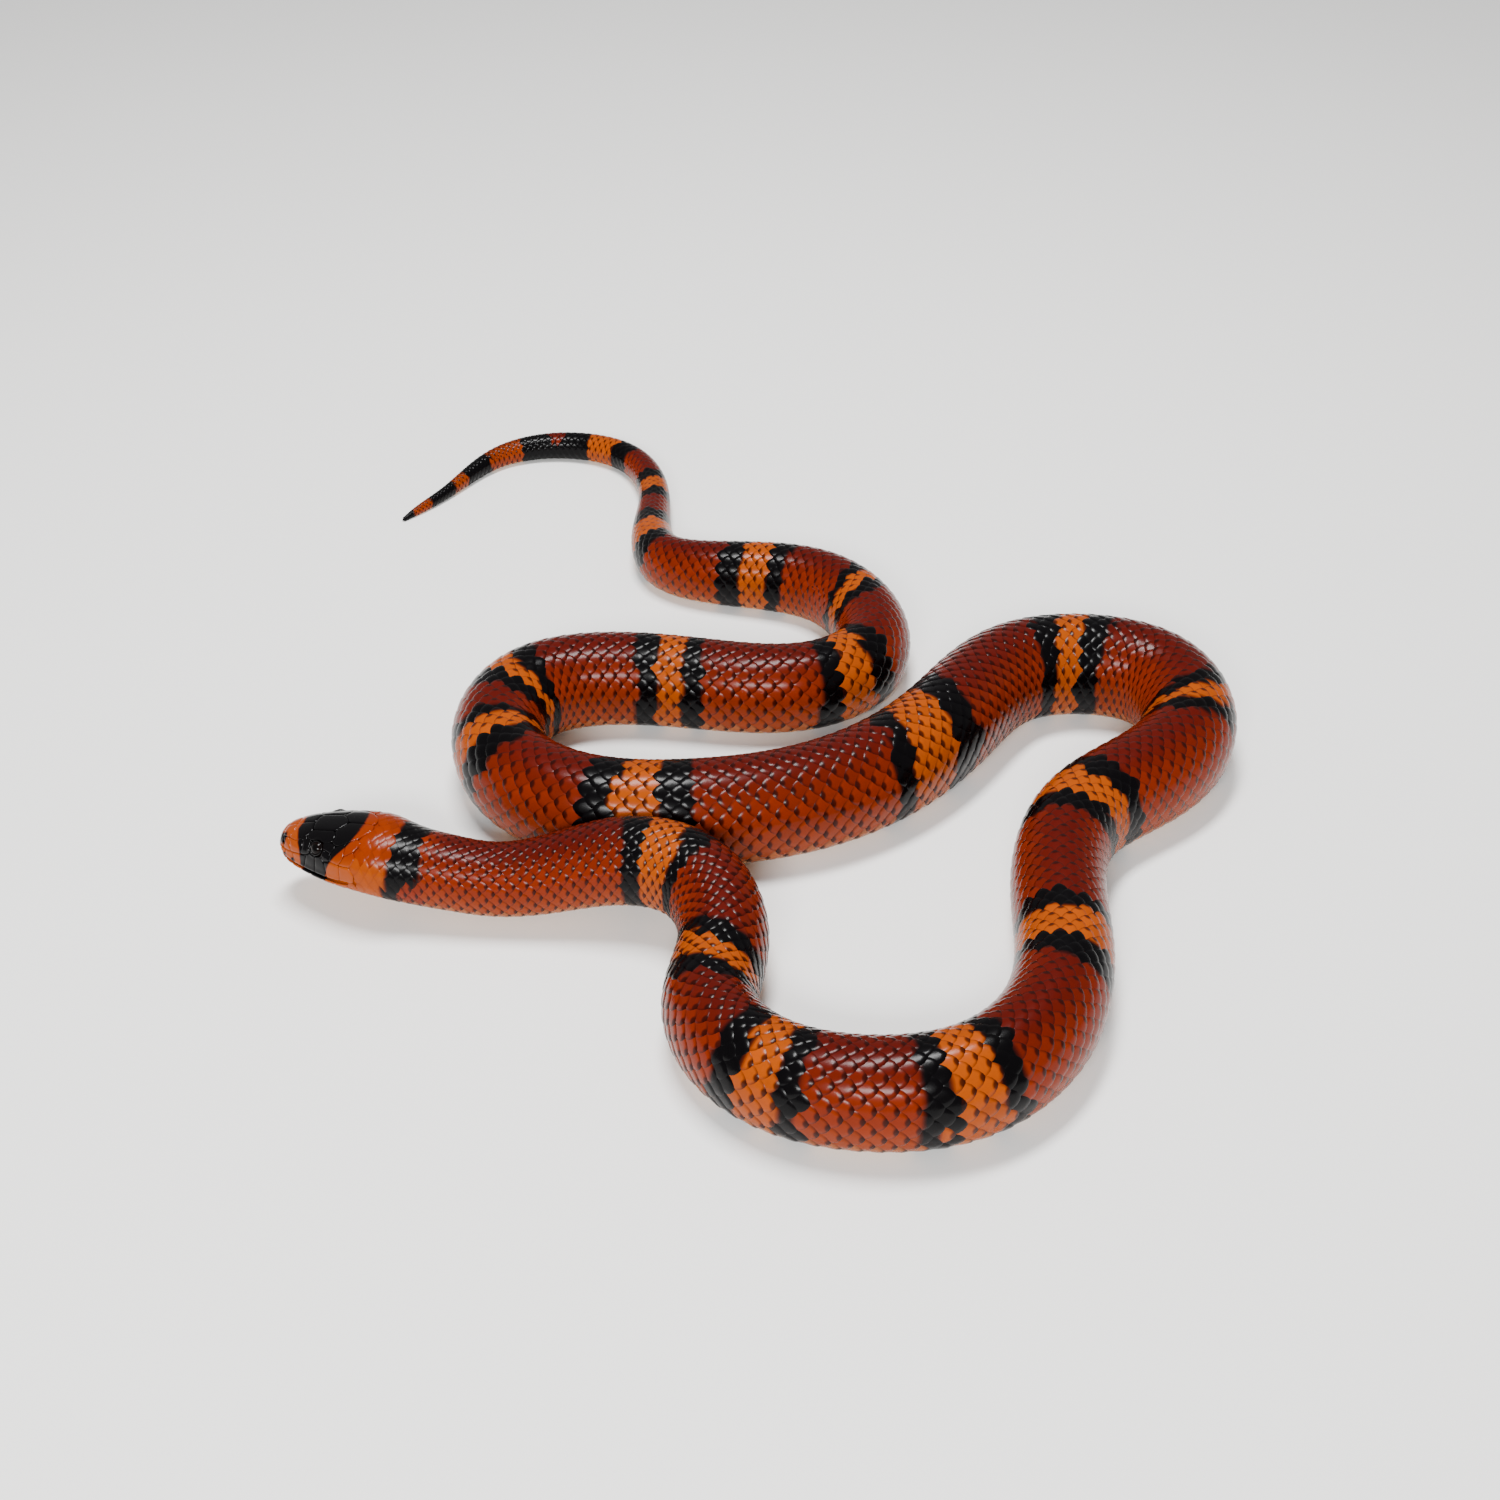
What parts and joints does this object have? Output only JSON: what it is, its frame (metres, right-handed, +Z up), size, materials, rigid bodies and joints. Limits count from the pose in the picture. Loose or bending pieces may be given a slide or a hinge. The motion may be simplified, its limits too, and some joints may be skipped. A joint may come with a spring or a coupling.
{
  "type": "milk snake",
  "caption": "Life-size milk snake lying in loose coils, red with black-edged orange rings, head a little raised.",
  "frame": {"origin": "on the floor, under the middle of the coils", "axes": "+Z up; seen from -Y the head points to the left, -X; +Y is the far side, where the tail lies"},
  "size_m": [0.2578, 0.3276, 0.0303],
  "materials": {
    "body_scales": "smooth glossy scales, red with black and orange rings",
    "head_scales": "glossy head shields, black cap with orange snout and collar",
    "eye": "wet, very dark, under a clear spectacle"
  },
  "bodies": {
    "root": {"head": "head_scales", "eye_left": "eye", "eye_right": "eye", "neck": "body_scales", "body_1": "body_scales", "body_2": "body_scales", "body_3": "body_scales", "body_4": "body_scales", "body_5": "body_scales", "body_6": "body_scales", "body_7": "body_scales", "body_8": "body_scales", "body_9": "body_scales", "body_10": "body_scales", "body_11": "body_scales", "body_12": "body_scales", "body_13": "body_scales", "tail_1": "body_scales", "tail_2": "body_scales"}
  },
  "joints": []
}
